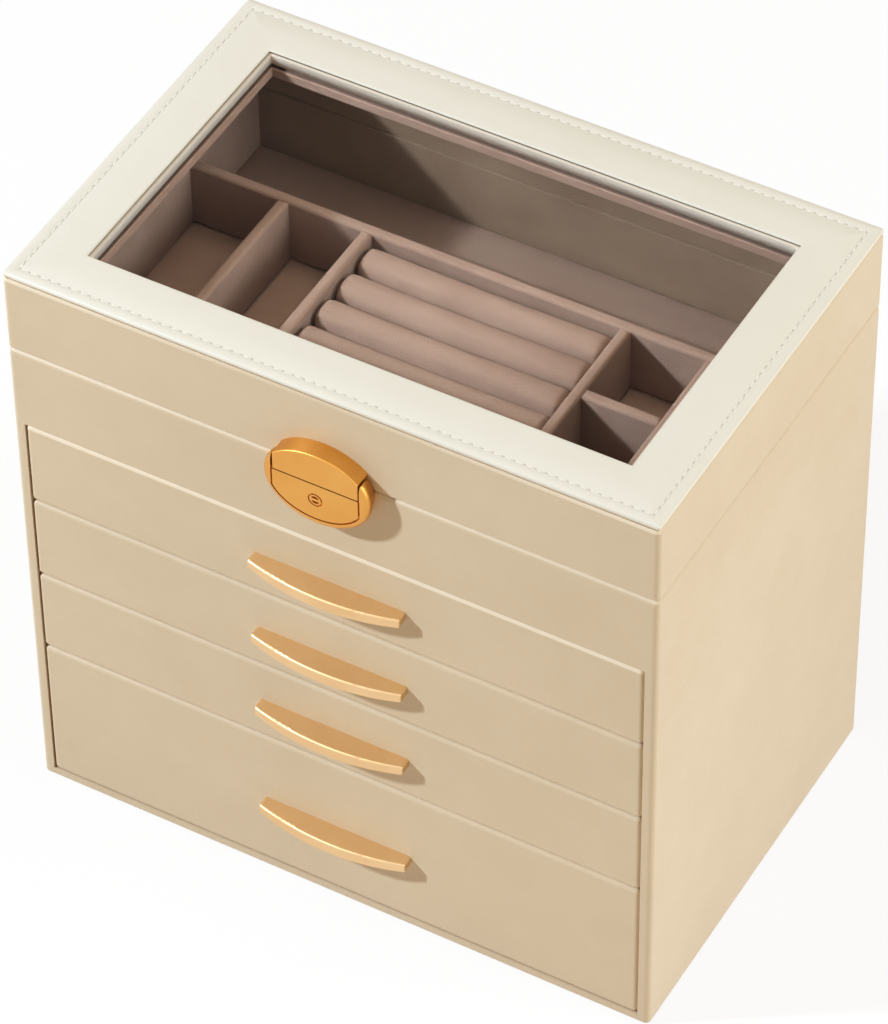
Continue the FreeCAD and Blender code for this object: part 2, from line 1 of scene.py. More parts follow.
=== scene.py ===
# %% [markdown]
# # A jewellery box with drawers
#
# The box is a board case wrapped in cream leather, with a glass-topped lid, a velvet tray under the glass
# and four drawers. The boards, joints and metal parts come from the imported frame, at their real size.
# This lesson dresses that frame: it mixes the finishes, sews the top panel, pads the tray, lines the
# drawers, and lights it. Every length here is in metres, in the frame's own axes: x across the front, y
# to the back, z up.

# %% Load the frame
import json
import math

import bmesh
import bpy
from mathutils import Matrix, Vector


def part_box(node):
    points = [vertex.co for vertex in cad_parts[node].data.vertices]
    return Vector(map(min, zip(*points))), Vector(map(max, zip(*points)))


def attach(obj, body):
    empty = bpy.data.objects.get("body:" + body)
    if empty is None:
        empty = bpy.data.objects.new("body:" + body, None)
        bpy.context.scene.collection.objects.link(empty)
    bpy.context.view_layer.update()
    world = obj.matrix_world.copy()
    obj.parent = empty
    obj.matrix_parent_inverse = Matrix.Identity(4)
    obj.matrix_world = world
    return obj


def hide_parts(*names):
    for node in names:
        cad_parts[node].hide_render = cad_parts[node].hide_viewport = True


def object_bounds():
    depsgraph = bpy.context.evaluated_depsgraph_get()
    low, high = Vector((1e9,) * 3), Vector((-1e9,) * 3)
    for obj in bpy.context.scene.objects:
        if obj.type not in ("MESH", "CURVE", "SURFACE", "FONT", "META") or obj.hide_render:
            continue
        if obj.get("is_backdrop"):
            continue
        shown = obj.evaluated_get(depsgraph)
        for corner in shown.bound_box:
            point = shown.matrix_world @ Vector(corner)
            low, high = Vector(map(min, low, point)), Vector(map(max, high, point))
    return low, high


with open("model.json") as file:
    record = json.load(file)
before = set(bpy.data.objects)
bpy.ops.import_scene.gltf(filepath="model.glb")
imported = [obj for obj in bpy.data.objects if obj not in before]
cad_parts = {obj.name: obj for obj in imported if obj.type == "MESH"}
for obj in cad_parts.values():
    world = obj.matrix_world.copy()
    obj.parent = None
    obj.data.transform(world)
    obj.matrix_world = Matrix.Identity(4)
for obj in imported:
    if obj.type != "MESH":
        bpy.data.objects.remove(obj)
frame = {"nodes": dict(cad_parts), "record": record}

MM = 0.001
cad_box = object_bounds()
nodes = frame["nodes"]

# %% [markdown]
# ## Helpers for shader nodes
#
# A finish is a small tree of shader nodes. Wiring each tree by hand in Python takes many lines, so a few
# helpers do the repeated work. One adds a node and fills its sockets: a socket that is given another
# socket is linked, and one that is given a value just holds it. Those for sums, blends and noise build on
# it, and the last one starts a node group with named sockets.

# %% Shader helpers


def paint(red, green, blue):
    """A colour as a colour chart gives it, 0 to 255, turned into the linear light that shaders work in."""
    def linear(value):
        share = value / 255
        return share / 12.92 if share <= 0.04045 else ((share + 0.055) / 1.055) ** 2.4
    return (linear(red), linear(green), linear(blue), 1.0)


def add_node(tree, kind, sockets=None, **properties):
    """Adds one node to a tree, sets its properties, then links or fills its sockets."""
    made = tree.nodes.new("ShaderNode" + kind)
    for name, value in properties.items():
        setattr(made, name, value)
    for socket, value in (sockets or {}).items():
        if isinstance(value, bpy.types.NodeSocket):
            tree.links.new(value, made.inputs[socket])
        else:
            made.inputs[socket].default_value = value
    return made


def blend_colours(tree, share, first, second):
    """The first colour where share is 0, the second where it is 1."""
    mixed = add_node(tree, "Mix", {0: share, 6: first, 7: second}, data_type="RGBA")
    return mixed.outputs[2]


def spread(tree, value, low, high, start=0.0, end=1.0):
    """A value that runs from low to high while the given one runs from start to end."""
    ranged = add_node(tree, "MapRange", {"Value": value, "From Min": start, "From Max": end,
                                         "To Min": low, "To Max": high})
    return ranged.outputs["Result"]


def combine(tree, operation, *values):
    """The result of one arithmetic node over the given values."""
    return add_node(tree, "Math", dict(enumerate(values)), operation=operation).outputs["Value"]


def sum_of(tree, first, second, share):
    """The first value plus a share of the second."""
    return combine(tree, "MULTIPLY_ADD", second, share, first)


def noise(tree, place, scale, detail, **more):
    """A noise texture with a number of patches per metre."""
    return add_node(tree, "TexNoise", {"Vector": place, "Scale": scale, "Detail": detail, **more}).outputs


def start_group(name, inputs, outputs):
    """A node group: a place vector and some numbers go in, masks and heights come out."""
    tree = bpy.data.node_groups.new(name, "ShaderNodeTree")
    tree.interface.new_socket("Place", in_out="INPUT", socket_type="NodeSocketVector")
    for label, value in inputs.items():
        socket = tree.interface.new_socket(label, in_out="INPUT", socket_type="NodeSocketFloat")
        socket.default_value = value
    for label in outputs:
        tree.interface.new_socket(label, in_out="OUTPUT", socket_type="NodeSocketFloat")
    given = tree.nodes.new("NodeGroupInput").outputs
    result = tree.nodes.new("NodeGroupOutput").inputs
    return tree, given, result


print("shader helpers ready")

# %% [markdown]
# ## Shared effects as node groups
#
# Leather grain, slow colour drift, velvet nap, paper fibre and blasted metal are each used by more than
# one finish, or at more than one size. Each is built once as a node group that reads a place on the piece
# and gives back heights and masks. The materials then decide what those masks mean: a tone, a gloss, or a
# bump.

# %% Leather grain: small pebbles with creases between them


def make_leather_grain():
    tree, given, result = start_group("leather_grain", {"Pebbles per metre": 1400.0}, ["Height", "Crease"])
    wander = noise(tree, given["Place"], 420.0, 2.0)["Color"]
    wander_reach = (0.6 * MM,) * 3
    drift = add_node(tree, "VectorMath", {0: wander, 1: wander_reach, 2: given["Place"]},
                     operation="MULTIPLY_ADD")
    sockets = {"Vector": drift.outputs["Vector"], "Scale": given["Pebbles per metre"], "Smoothness": 0.35}
    away = add_node(tree, "TexVoronoi", sockets, feature="SMOOTH_F1").outputs["Distance"]
    skin = noise(tree, given["Place"], 5200.0, 2.0)["Fac"]
    dome = spread(tree, away, 1.0, 0.0, 0.05, 0.75)
    tree.links.new(sum_of(tree, dome, skin, 0.25), result["Height"])
    tree.links.new(spread(tree, away, 0.0, 1.0, 0.45, 0.8), result["Crease"])
    return tree


leather_grain = make_leather_grain()
print("group:", leather_grain.name)

# %% Slow drift: the faint cloudiness that every dyed or coated surface has


def make_slow_drift():
    tree, given, result = start_group("slow_drift", {"Patches per metre": 9.0}, ["Tone"])
    broad = noise(tree, given["Place"], given["Patches per metre"], 3.0, Roughness=0.55)["Fac"]
    close = noise(tree, given["Place"], 75.0, 2.0)["Fac"]
    tree.links.new(spread(tree, sum_of(tree, broad, close, 0.35), 0.0, 1.0, 0.42, 0.93), result["Tone"])
    return tree


slow_drift = make_slow_drift()
print("group:", slow_drift.name)

# %% Velvet nap: upright pile, and strokes where a hand has laid it over


def make_velvet_nap():
    tree, given, result = start_group("velvet_nap", {"Pile per metre": 2600.0, "Strokes per metre": 30.0},
                                      ["Height", "Stroke"])
    pile = noise(tree, given["Place"], given["Pile per metre"], 3.0)["Fac"]
    laid = add_node(tree, "Mapping", {"Vector": given["Place"], "Scale": (0.55, 1.0, 1.0),
                                      "Rotation": (0.0, 0.0, math.radians(25))})
    strokes = noise(tree, laid.outputs["Vector"], given["Strokes per metre"], 4.0, Roughness=0.6,
                    Distortion=0.7)["Fac"]
    tree.links.new(pile, result["Height"])
    mixed = sum_of(tree, strokes, pile, 0.3)
    tree.links.new(spread(tree, mixed, 0.0, 1.0, 0.42, 0.9), result["Stroke"])
    return tree


velvet_nap = make_velvet_nap()
print("group:", velvet_nap.name)

# %% Pressed fibre: paper, board and felt


def make_pressed_fibre():
    tree, given, result = start_group("pressed_fibre", {"Fibres per metre": 900.0}, ["Height", "Fleck"])
    long_way = add_node(tree, "Mapping", {"Vector": given["Place"], "Scale": (0.25, 1.0, 0.6)})
    fibres = noise(tree, long_way.outputs["Vector"], given["Fibres per metre"], 4.0, Roughness=0.65,
                   Distortion=0.4)["Fac"]
    tree.links.new(fibres, result["Height"])
    tree.links.new(spread(tree, fibres, 0.0, 1.0, 0.35, 0.68), result["Fleck"])
    return tree


pressed_fibre = make_pressed_fibre()
print("group:", pressed_fibre.name)

# %% Blasted metal: a fine satin tooth with faint draw lines


def make_blasted_metal():
    tree, given, result = start_group("blasted_metal", {"Grit per metre": 3500.0}, ["Height", "Shine"])
    grit = noise(tree, given["Place"], given["Grit per metre"], 2.0)["Fac"]
    drawn = add_node(tree, "Mapping", {"Vector": given["Place"], "Scale": (0.04, 1.0, 1.0)})
    lines = noise(tree, drawn.outputs["Vector"], 2200.0, 2.0)["Fac"]
    handled = noise(tree, given["Place"], 70.0, 3.0)["Fac"]
    tree.links.new(sum_of(tree, grit, lines, 0.5), result["Height"])
    tree.links.new(sum_of(tree, handled, grit, 0.3), result["Shine"])
    return tree


blasted_metal = make_blasted_metal()
print("group:", blasted_metal.name)

# %% [markdown]
# ## The finishes
#
# A material here is one Principled shader fed by the groups above. What is the same all over, such as
# sheen or coat, is set on the shader itself. What changes over the surface, such as tone, gloss and bump,
# comes from the groups. Patterns read Object coordinates: each piece keeps its place in its mesh, so they
# stay put when it moves.

# %% Start of every finish


def start_finish(name, constants):
    """A material with one Principled shader, its fixed values set, and the piece's own coordinates."""
    material = bpy.data.materials.new(name)
    material.use_nodes = True
    tree = material.node_tree
    shader = tree.nodes["Principled BSDF"]
    for socket, value in constants.items():
        shader.inputs[socket].default_value = value
    place = add_node(tree, "TexCoord").outputs["Object"]
    return material, tree, shader, place


def use_group(tree, group, place, **numbers):
    """Places a node group in a material and gives back its outputs."""
    made = add_node(tree, "Group", {}, node_tree=group)
    tree.links.new(place, made.inputs["Place"])
    for label, value in numbers.items():
        made.inputs[label.replace("_", " ")].default_value = value
    return made.outputs


def raise_surface(tree, shader, height, depth, strength=1.0):
    """Feeds a height through a bump node to the shader; depth is how deep the relief is, in metres."""
    bump = add_node(tree, "Bump", {"Height": height, "Distance": depth, "Strength": strength})
    tree.links.new(bump.outputs["Normal"], shader.inputs["Normal"])


print("finish helpers ready")

# %% Leather: cream for the walls and drawers, ivory for the top panel, a paler cream round the glass
# Painted highlight: a lighter band of leather along the front's top edges, where they catch the lamp.
front_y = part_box("case_leather")[0].y
edge_highlight_depth = 1.0 * MM
# Painted highlight on each node's top edge: the band's height, and its strength in the middle and at the
# ends.
edge_highlight_bands = {
    "lid_leather": (2.2 * MM, 0.1, 0.7),
    "case_leather": (1.0 * MM, 0.4, 0.4),
    "drawer_1_front": (1.6 * MM, 0.65, 0.65),
}


def painted_edge_highlight(tree, place):
    """How strongly a highlight is painted on the turned top edges of the front, from 0 to 1."""
    spot = add_node(tree, "SeparateXYZ", {"Vector": place}).outputs
    from_middle = combine(tree, "ABSOLUTE", spot["X"])
    edge_light = 0.0
    for node, (band, middle_share, end_share) in edge_highlight_bands.items():
        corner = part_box(node)[1]
        high_up = combine(tree, "COMPARE", spot["Z"], corner.z - band / 2, band / 2)
        within = combine(tree, "LESS_THAN", from_middle, corner.x)
        share = spread(tree, from_middle, middle_share, end_share, 0.0, corner.x)
        band_light = combine(tree, "MULTIPLY", combine(tree, "MULTIPLY", high_up, within), share)
        edge_light = combine(tree, "MAXIMUM", edge_light, band_light)
    at_front = combine(tree, "LESS_THAN", spot["Y"], front_y + edge_highlight_depth)
    return combine(tree, "MULTIPLY", edge_light, at_front)


def leather_finish(name, pale, deep, gloss, edge_highlight_colour=None):
    material, tree, shader, place = start_finish(name, {"Specular IOR Level": 0.42, "Coat Roughness": 0.35})
    grain = use_group(tree, leather_grain, place, Pebbles_per_metre=1300.0)
    drift = use_group(tree, slow_drift, place, Patches_per_metre=8.0)
    tone = blend_colours(tree, drift["Tone"], deep, pale)
    colour = blend_colours(tree, spread(tree, grain["Crease"], 0.0, 0.16), tone, deep)
    # Painted highlight: a lighter band along the front's rounded top edges, where they catch the lamp.
    if edge_highlight_colour:
        colour = blend_colours(tree, painted_edge_highlight(tree, place), colour, edge_highlight_colour)
    tree.links.new(colour, shader.inputs["Base Color"])
    dull = spread(tree, drift["Tone"], gloss + 0.06, gloss - 0.04)
    tree.links.new(sum_of(tree, dull, grain["Crease"], 0.12), shader.inputs["Roughness"])
    raise_surface(tree, shader, grain["Height"], 0.05 * MM, 0.55)
    return material


cream_leather = leather_finish("cream_leather", paint(223, 204, 173), paint(215, 196, 164), 0.36,
                               edge_highlight_colour=paint(252, 238, 212))
ivory_leather = leather_finish("ivory_leather", paint(237, 234, 220), paint(232, 228, 213), 0.45)
frame_leather = leather_finish("frame_leather", paint(234, 224, 207), paint(229, 217, 199), 0.5)
print("leathers:", cream_leather.name, ivory_leather.name, frame_leather.name)

# %% Velvet and felt. At the rear of the tray and the lid the velvet is painted darker, as shade
rear_reach = 1.6 * MM
rear_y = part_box("tray_wall_cards")[1].y - rear_reach
# The rear shade is painted: the rear linings' velvet is multiplied by this colour.
rear_painted_shade = (0.7, 0.71, 0.61, 1.0)


def at_rear(tree, place):
    """1 on the linings at the rear, which are painted darker as shade, 0 elsewhere."""
    depth = add_node(tree, "SeparateXYZ", {"Vector": place}).outputs["Y"]
    return combine(tree, "GREATER_THAN", depth, rear_y)


def velvet_finish(name, raised, laid, sheen):
    constants = {"Roughness": 0.95, "Specular IOR Level": 0.12, "Sheen Weight": sheen,
                 "Sheen Roughness": 0.35, "Sheen Tint": paint(214, 190, 176)}
    material, tree, shader, place = start_finish(name, constants)
    nap = use_group(tree, velvet_nap, place)
    drift = use_group(tree, slow_drift, place, Patches_per_metre=18.0)
    mood = sum_of(tree, nap["Stroke"], drift["Tone"], 0.5)
    cloth = blend_colours(tree, spread(tree, mood, 0.0, 1.0, 0.2, 1.3), laid, raised)
    # Painted shade: the linings at the rear take the cloth's colour multiplied by the rear shade.
    shaded = add_node(tree, "Mix", {0: at_rear(tree, place), 6: cloth, 7: rear_painted_shade}, data_type="RGBA",
                      blend_type="MULTIPLY")
    tree.links.new(shaded.outputs[2], shader.inputs["Base Color"])
    raise_surface(tree, shader, nap["Height"], 0.12 * MM, 0.6)
    return material


def felt_finish():
    material, tree, shader, place = start_finish("base_felt", {"Roughness": 1.0, "Specular IOR Level": 0.1,
                                                               "Sheen Weight": 0.15})
    fibre = use_group(tree, pressed_fibre, place, Fibres_per_metre=700.0)
    tree.links.new(blend_colours(tree, fibre["Fleck"], paint(122, 108, 96), paint(160, 144, 130)),
                   shader.inputs["Base Color"])
    raise_surface(tree, shader, fibre["Height"], 0.3 * MM, 0.8)
    return material


tray_velvet = velvet_finish("tray_velvet", paint(164, 134, 116), paint(146, 116, 99), 0.12)
base_felt = felt_finish()
print("fabrics:", tray_velvet.name, base_felt.name)

# %% Board: wrapped in paper where the drawers hide it; darker strips at the edges of the top panel paint shadow lines


def board_finish(name, pale, deep, fleck):
    material, tree, shader, place = start_finish(name, {"Specular IOR Level": 0.25})
    fibre = use_group(tree, pressed_fibre, place, Fibres_per_metre=1100.0)
    drift = use_group(tree, slow_drift, place, Patches_per_metre=14.0)
    tone = blend_colours(tree, drift["Tone"], deep, pale)
    tree.links.new(blend_colours(tree, spread(tree, fibre["Fleck"], 0.0, 0.35), tone, fleck),
                   shader.inputs["Base Color"])
    tree.links.new(spread(tree, fibre["Fleck"], 0.75, 0.9), shader.inputs["Roughness"])
    raise_surface(tree, shader, fibre["Height"], 0.08 * MM, 0.5)
    return material


wrapped_board = board_finish("wrapped_board", paint(208, 186, 158), paint(196, 172, 144),
                             paint(176, 150, 122))
# Painted shade: the two darker card colours make the shadow lines at the window and under the rim.
window_line_shade = board_finish("window_line_shade", paint(138, 126, 110), paint(124, 112, 97), paint(106, 95, 82))
rim_line_shade = board_finish("rim_line_shade", paint(222, 207, 184), paint(208, 194, 171), paint(190, 176, 154))
print("boards:", wrapped_board.name, window_line_shade.name, rim_line_shade.name)

# %% Metal: satin gold for the lock and hinges, a paler copy for the pulls, steel for pins and screws


def metal_finish(name, bright, dark, dullness):
    material, tree, shader, place = start_finish(name, {"Metallic": 1.0})
    blast = use_group(tree, blasted_metal, place)
    shine = spread(tree, blast["Shine"], 0.0, 1.0, 0.4, 0.9)
    tree.links.new(blend_colours(tree, shine, dark, bright), shader.inputs["Base Color"])
    tree.links.new(spread(tree, shine, dullness + 0.06, dullness - 0.05), shader.inputs["Roughness"])
    raise_surface(tree, shader, blast["Height"], 0.02 * MM, 0.5)
    return material


satin_gold = metal_finish("satin_gold", paint(230, 168, 85), paint(223, 159, 76), 0.38)
# The pulls' paler gold is a painted reflection: it stands in for the white their flat tops reflect.
pale_gold = metal_finish("pale_gold", paint(237, 201, 152), paint(229, 189, 136), 0.44)
pin_steel = metal_finish("pin_steel", paint(205, 204, 200), paint(188, 187, 184), 0.32)
print("metals:", satin_gold.name, pale_gold.name, pin_steel.name)

# %% [markdown]
# Window glass bends light, and a path tracer finds few lamp rays through a bending surface, so the tray
# under it would be too dark. The usual cure is used here: for shadow rays the pane counts as plain
# transparent.

# %% Glass of the lid's window


def glass_finish():
    constants = {"Base Color": paint(254, 255, 254), "Roughness": 0.02, "IOR": 1.1,
                 "Transmission Weight": 1.0, "Metallic": 0.0}
    material, tree, shader, place = start_finish("window_glass", constants)
    smears = use_group(tree, slow_drift, place, Patches_per_metre=25.0)
    tree.links.new(spread(tree, smears["Tone"], 0.01, 0.04), shader.inputs["Roughness"])
    clear = add_node(tree, "BsdfTransparent", {"Color": paint(252, 254, 253)})
    path = add_node(tree, "LightPath")
    pane = add_node(tree, "MixShader", {0: path.outputs["Is Shadow Ray"], 1: shader.outputs["BSDF"],
                                        2: clear.outputs["BSDF"]})
    tree.links.new(pane.outputs["Shader"], tree.nodes["Material Output"].inputs["Surface"])
    return material


window_glass = glass_finish()
print("glass:", window_glass.name)

# %% [markdown]
# ## Dressing the frame's own pieces
#
# Most rigid pieces already have the right shape, so they only need a finish. The record says which slot
# each node takes; one dictionary turns the slot into a finish, and one loop hands them out.

# %% Hand out the finishes
finish_of_slot = {
    "cream_leather": cream_leather,
    "ivory_leather": ivory_leather,
    "velvet": tray_velvet,
    "felt": base_felt,
    "board": wrapped_board,
    "gold_metal": satin_gold,
    "steel": pin_steel,
    "window_glass": window_glass,
}
drawer_numbers = range(1, 5)
slot_of_node = {part["node"]: part["material_slot"] for part in frame["record"]["subparts"]}
for name, slot in slot_of_node.items():
    mesh = nodes[name].data
    mesh.materials.clear()
    mesh.materials.append(finish_of_slot[slot])
# The pulls take the paler gold, a painted reflection of the white above their flat tops.
for number in drawer_numbers:
    nodes["drawer_%d_pull" % number].data.materials[0] = pale_gold
print("finishes handed out to", len(slot_of_node), "nodes")

# %% [markdown]
# ## Helpers for new pieces
#
# A new piece is a bmesh that ends as an object at the origin, with its place in its mesh, as the frame's
# own nodes have. Soft-edged panels, linings and frames are all stacks of rounded rectangles: each loop is
# a few edges with bevelled corners, and bridging one loop to the next makes the skin. A cube with
# bevelled edges would round all of its edges alike; a stack of loops lets each edge have its own
# softness.

# %% Mesh helpers


def make_piece(bm, name, finish):
    """Turns a bmesh into an object with one finish."""
    bmesh.ops.remove_doubles(bm, verts=bm.verts, dist=1e-7)
    bmesh.ops.recalc_face_normals(bm, faces=bm.faces)
    for face in bm.faces:
        face.smooth = True
    mesh = bpy.data.meshes.new(name)
    bm.to_mesh(mesh)
    bm.free()
    mesh.materials.append(finish)
    piece = bpy.data.objects.new(name, mesh)
    bpy.context.scene.collection.objects.link(piece)
    return piece


def settle(piece, body, slot, *stands_for):
    """The piece rides on its body and stands for the nodes that it covers; the slot is not used."""
    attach(piece, body)
    if stands_for:
        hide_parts(*stands_for)
    print(piece.name, "rides on", body, "with", len(piece.data.polygons), "faces")


def bevel(bm, geometry, offset, steps, affect):
    """Rounds corners or edges off in a number of steps."""
    return bmesh.ops.bevel(bm, geom=geometry, offset=offset, offset_type="OFFSET", segments=steps,
                           profile=0.5, affect=affect, material=-1)


def add_block(bm, low, high):
    """A box between two corners."""
    place = Matrix.Translation((low + high) / 2) @ Matrix.Diagonal((high - low).to_4d())
    return bmesh.ops.create_cube(bm, size=1.0, matrix=place)


def rounded_loop(bm, low, high, z, corner, steps=3):
    """A closed rectangle of edges at one height, with round corners."""
    places = ((low.x, low.y), (high.x, low.y), (high.x, high.y), (low.x, high.y))
    corners = [bm.verts.new((x, y, z)) for x, y in places]
    for start, end in zip(corners, corners[1:] + corners[:1]):
        bm.edges.new((start, end))
    rounded = bevel(bm, corners, corner, steps, "VERTICES")
    return list(dict.fromkeys(edge for vert in rounded["verts"] for edge in vert.link_edges))


def inset_by(low, high, inset):
    """A rectangle's corners moved in by the same amount on all sides."""
    step = Vector((inset, inset, 0.0))
    return low + step, high - step


def stack_loops(bm, low, high, section, corner):
    """One rounded loop for each inset and height of a cross-section."""
    return [rounded_loop(bm, *inset_by(low, high, inset), z, corner) for inset, z in section]


def bridge(bm, loops):
    """Makes the skin between each loop and the next. Neighbours in one plane would be capped, so none are."""
    for first, second in zip(loops, loops[1:]):
        bmesh.ops.bridge_loops(bm, edges=first + second)


def solids_of(node):
    """The lowest and highest corner of each separate solid in a node, from left to right."""
    bm = bmesh.new()
    bm.from_mesh(nodes[node].data)
    bmesh.ops.remove_doubles(bm, verts=bm.verts, dist=1e-6)
    waiting = set(bm.verts)
    boxes = []
    while waiting:
        reached = [waiting.pop()]
        for vert in reached:
            for edge in vert.link_edges:
                other = edge.other_vert(vert)
                if other in waiting:
                    waiting.remove(other)
                    reached.append(other)
        spans = [[vert.co[axis] for vert in reached] for axis in range(3)]
        boxes.append((Vector([min(span) for span in spans]), Vector([max(span) for span in spans])))
    bm.free()
    return sorted(boxes, key=lambda box: tuple(box[0]))


print("mesh helpers ready")

# %% [markdown]
# ## The stitched top panel
#
# The top of the lid is a flat frame of ivory leather over thin card. Its rim laps over the lid's round
# edge. Below the rim at the front, a thin strip darker than the leather paints the shadow line there.
# One row of stitching runs inside the rim and pulls the leather into a shallow valley. At the window a
# second dark strip paints the shadow line under the leather's edge, and a narrow inner frame steps down
# to the glass. Each of these is one cross-section swept round a rectangle: a list of insets and heights,
# one loop each.

# %% Top panel
panel_low, panel_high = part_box("lid_top_panel")
glass_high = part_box("window_glass")[1]
panel_thick = panel_high.z - panel_low.z
window_half_width = 95.95 * MM
frame_half_width = 95.14 * MM
glass_gap = 0.03 * MM
panel_border = panel_high.x - window_half_width
frame_border = panel_high.x - frame_half_width
frame_drop = panel_low.z - glass_high.z - glass_gap
frame_thick = 0.3 * MM
panel_corner = 0.2 * MM
shade_ring_side_inset = 0.5 * MM
window_corner = 0.35 * MM
stitch_inset = 3.4 * MM
swell = 0.04 * MM
valley = 0.2 * MM
# Each of these lists is a stretch of cross-section, as insets and heights in millimetres.
rim_lap = ((0.9, 0.03), (0.1, -0.02), (-0.35, -0.1), (-0.58, -0.14), (-0.66, 0.0), (-0.68, 0.2),
           (-0.62, 0.55), (-0.4, 0.92), (-0.05, 1.13))
# The two sections for darker strips, under the rim and at the window edge, paint the shadow lines there.
rim_shade_section = ((0.2, 0.0), (-0.55, -0.1), (-0.57, -0.86), (-0.25, -0.5))
window_edge = ((-0.8, 0.0), (-0.3, -0.06), (-0.06, -0.25), (0.0, -0.48), (-0.06, -0.7), (-0.5, -0.8))
window_shade_section = ((-0.6, 0.38), (-0.1, 0.5), (-0.08, 0.1), (-0.6, 0.08))
frame_edge = ((-1.3, 0.1), (-0.6, 0.13), (-0.25, 0.1), (-0.06, 0.05), (0.0, -0.1))
# The valley at the stitches: the distance from the row in millimetres, and the share of the valley's depth.
valley_slope = ((-0.7, 0.0), (-0.2, 0.95), (0.2, 1.0), (0.7, 0.1))


def panel_section():
    """The cross-section of the panel, from its underside at the rim to its underside at the window."""
    section = [(inset * MM, height * MM) for inset, height in rim_lap]
    section.append((stitch_inset * 0.5, panel_thick + swell))
    for away, share in valley_slope:
        section.append((stitch_inset + away * MM, panel_thick - valley * share))
    section.append(((stitch_inset + panel_border) / 2, panel_thick + swell / 2))
    section += [(panel_border + away * MM, panel_thick + rise * MM) for away, rise in window_edge]
    return section


def frame_section():
    """The cross-section of the inner frame, from under the panel down to the glass and back."""
    section = [(frame_border + away * MM, rise * MM) for away, rise in frame_edge]
    section.append((frame_border, -frame_drop))
    section.append((frame_border - frame_thick, 0.02 * MM - frame_drop))
    section.append((frame_border - frame_thick, -0.5 * MM))
    return section


def panel_ring(section, name, finish, side_inset=0.0):
    """A closed ring round the lid, with one loop for each inset and height of its cross-section."""
    bm = bmesh.new()
    loops = []
    for inset, height in section:
        low, high = inset_by(panel_low, panel_high, inset)
        low.x += side_inset
        high.x -= side_inset
        corner = max(panel_corner - inset, window_corner)
        loops.append(rounded_loop(bm, low, high, panel_low.z + height, corner))
    bridge(bm, loops + loops[:1])
    return make_piece(bm, name, finish)


top_leather = panel_ring(panel_section(), "lid_top_leather", ivory_leather)
settle(top_leather, "lid", "ivory_leather", "lid_top_panel")
# Painted shade: darker strips under the rim and at the window's edge make the shadow lines there.
rim_shade_ring = [(away * MM, rise * MM) for away, rise in rim_shade_section]
settle(panel_ring(rim_shade_ring, "lid_top_shade_strip", rim_line_shade, shade_ring_side_inset), "lid", "ivory_leather")
window_shade_ring = [(panel_border + away * MM, rise * MM) for away, rise in window_shade_section]
settle(panel_ring(window_shade_ring, "lid_window_shade_strip", window_line_shade), "lid", "ivory_leather")
settle(panel_ring(frame_section(), "lid_window_frame", frame_leather), "lid", "ivory_leather")

# %% [markdown]
# ## Stitches
#
# Each stitch is a short thread that dives into a needle hole at both ends. There are two hundred, so
# each is a small sphere of a few dozen faces, drawn out long and laid in the valley, slightly askew as a
# lockstitch lies. The needle holes between them are tiny discs on the valley's floor, painted darker as
# the shade inside each hole.

# %% Thread finish and stitches


def thread_finish():
    constants = {"Roughness": 0.7, "Specular IOR Level": 0.3}
    material, tree, shader, place = start_finish("sewing_thread", constants)
    ply = add_node(tree, "TexWave", {"Vector": place, "Scale": 900.0, "Distortion": 1.5},
                   bands_direction="DIAGONAL").outputs["Fac"]
    tree.links.new(blend_colours(tree, ply, paint(240, 238, 227), paint(246, 244, 234)),
                   shader.inputs["Base Color"])
    raise_surface(tree, shader, ply, 0.06 * MM, 0.6)
    return material


def needle_hole_shade_finish():
    constants = {"Roughness": 0.95, "Specular IOR Level": 0.1}
    material, tree, shader, place = start_finish("needle_hole", constants)
    drift = use_group(tree, slow_drift, place, Patches_per_metre=90.0)
    # The disc's colour is painted shade: the dark inside a needle hole.
    tree.links.new(blend_colours(tree, drift["Tone"], paint(200, 197, 183), paint(212, 209, 196)),
                   shader.inputs["Base Color"])
    return material


stitch_pitch = 3.65 * MM
stitch_half_length = 1.3 * MM
stitch_half_width = 0.3 * MM
stitch_half_height = 0.16 * MM
stitch_skew = math.radians(7)
stitch_rise = Vector((0, 0, stitch_half_height * 0.6))
hole_radius = 0.5 * MM
hole_rise = Vector((0, 0, 0.02 * MM))

valley_z = panel_high.z - valley
seam_low, seam_high = inset_by(panel_low, panel_high, stitch_inset)
seam_places = ((seam_low.x, seam_low.y), (seam_high.x, seam_low.y), (seam_high.x, seam_high.y),
               (seam_low.x, seam_high.y))
seam_corners = [Vector((x, y, valley_z)) for x, y in seam_places]
lengthways = Matrix.Rotation(math.pi / 2, 4, "Y")
stitches = bmesh.new()
holes = bmesh.new()
for start, end in zip(seam_corners, seam_corners[1:] + seam_corners[:1]):
    run = end - start
    count = round(run.length / stitch_pitch)
    turn = Matrix.Rotation(math.atan2(run.y, run.x) + stitch_skew, 4, "Z")
    shape = Matrix.Diagonal((stitch_half_length, stitch_half_width, stitch_half_height, 1.0))
    for number in range(count):
        middle = start + run * ((number + 0.5) / count) + stitch_rise
        bmesh.ops.create_uvsphere(stitches, u_segments=8, v_segments=5, radius=1.0,
                                  matrix=Matrix.Translation(middle) @ turn @ shape @ lengthways)
        hole = Matrix.Translation(start + run * (number / count) + hole_rise)
        bmesh.ops.create_circle(holes, cap_ends=True, segments=8, radius=hole_radius, matrix=hole)
settle(make_piece(stitches, "lid_top_stitches", thread_finish()), "lid", "ivory_leather")
settle(make_piece(holes, "lid_top_needle_holes", needle_hole_shade_finish()), "lid", "ivory_leather")

# %% [markdown]
# ## The velvet tray
#
# The tray's walls and dividers are thin boards covered in velvet, so every top edge is soft, and its
# floor is thin foam under velvet, which swells a little between the dividers. The sizes come from the
# frame: each divider's box is read from its node, and the bays are what is left between them.

# %% Walls and dividers


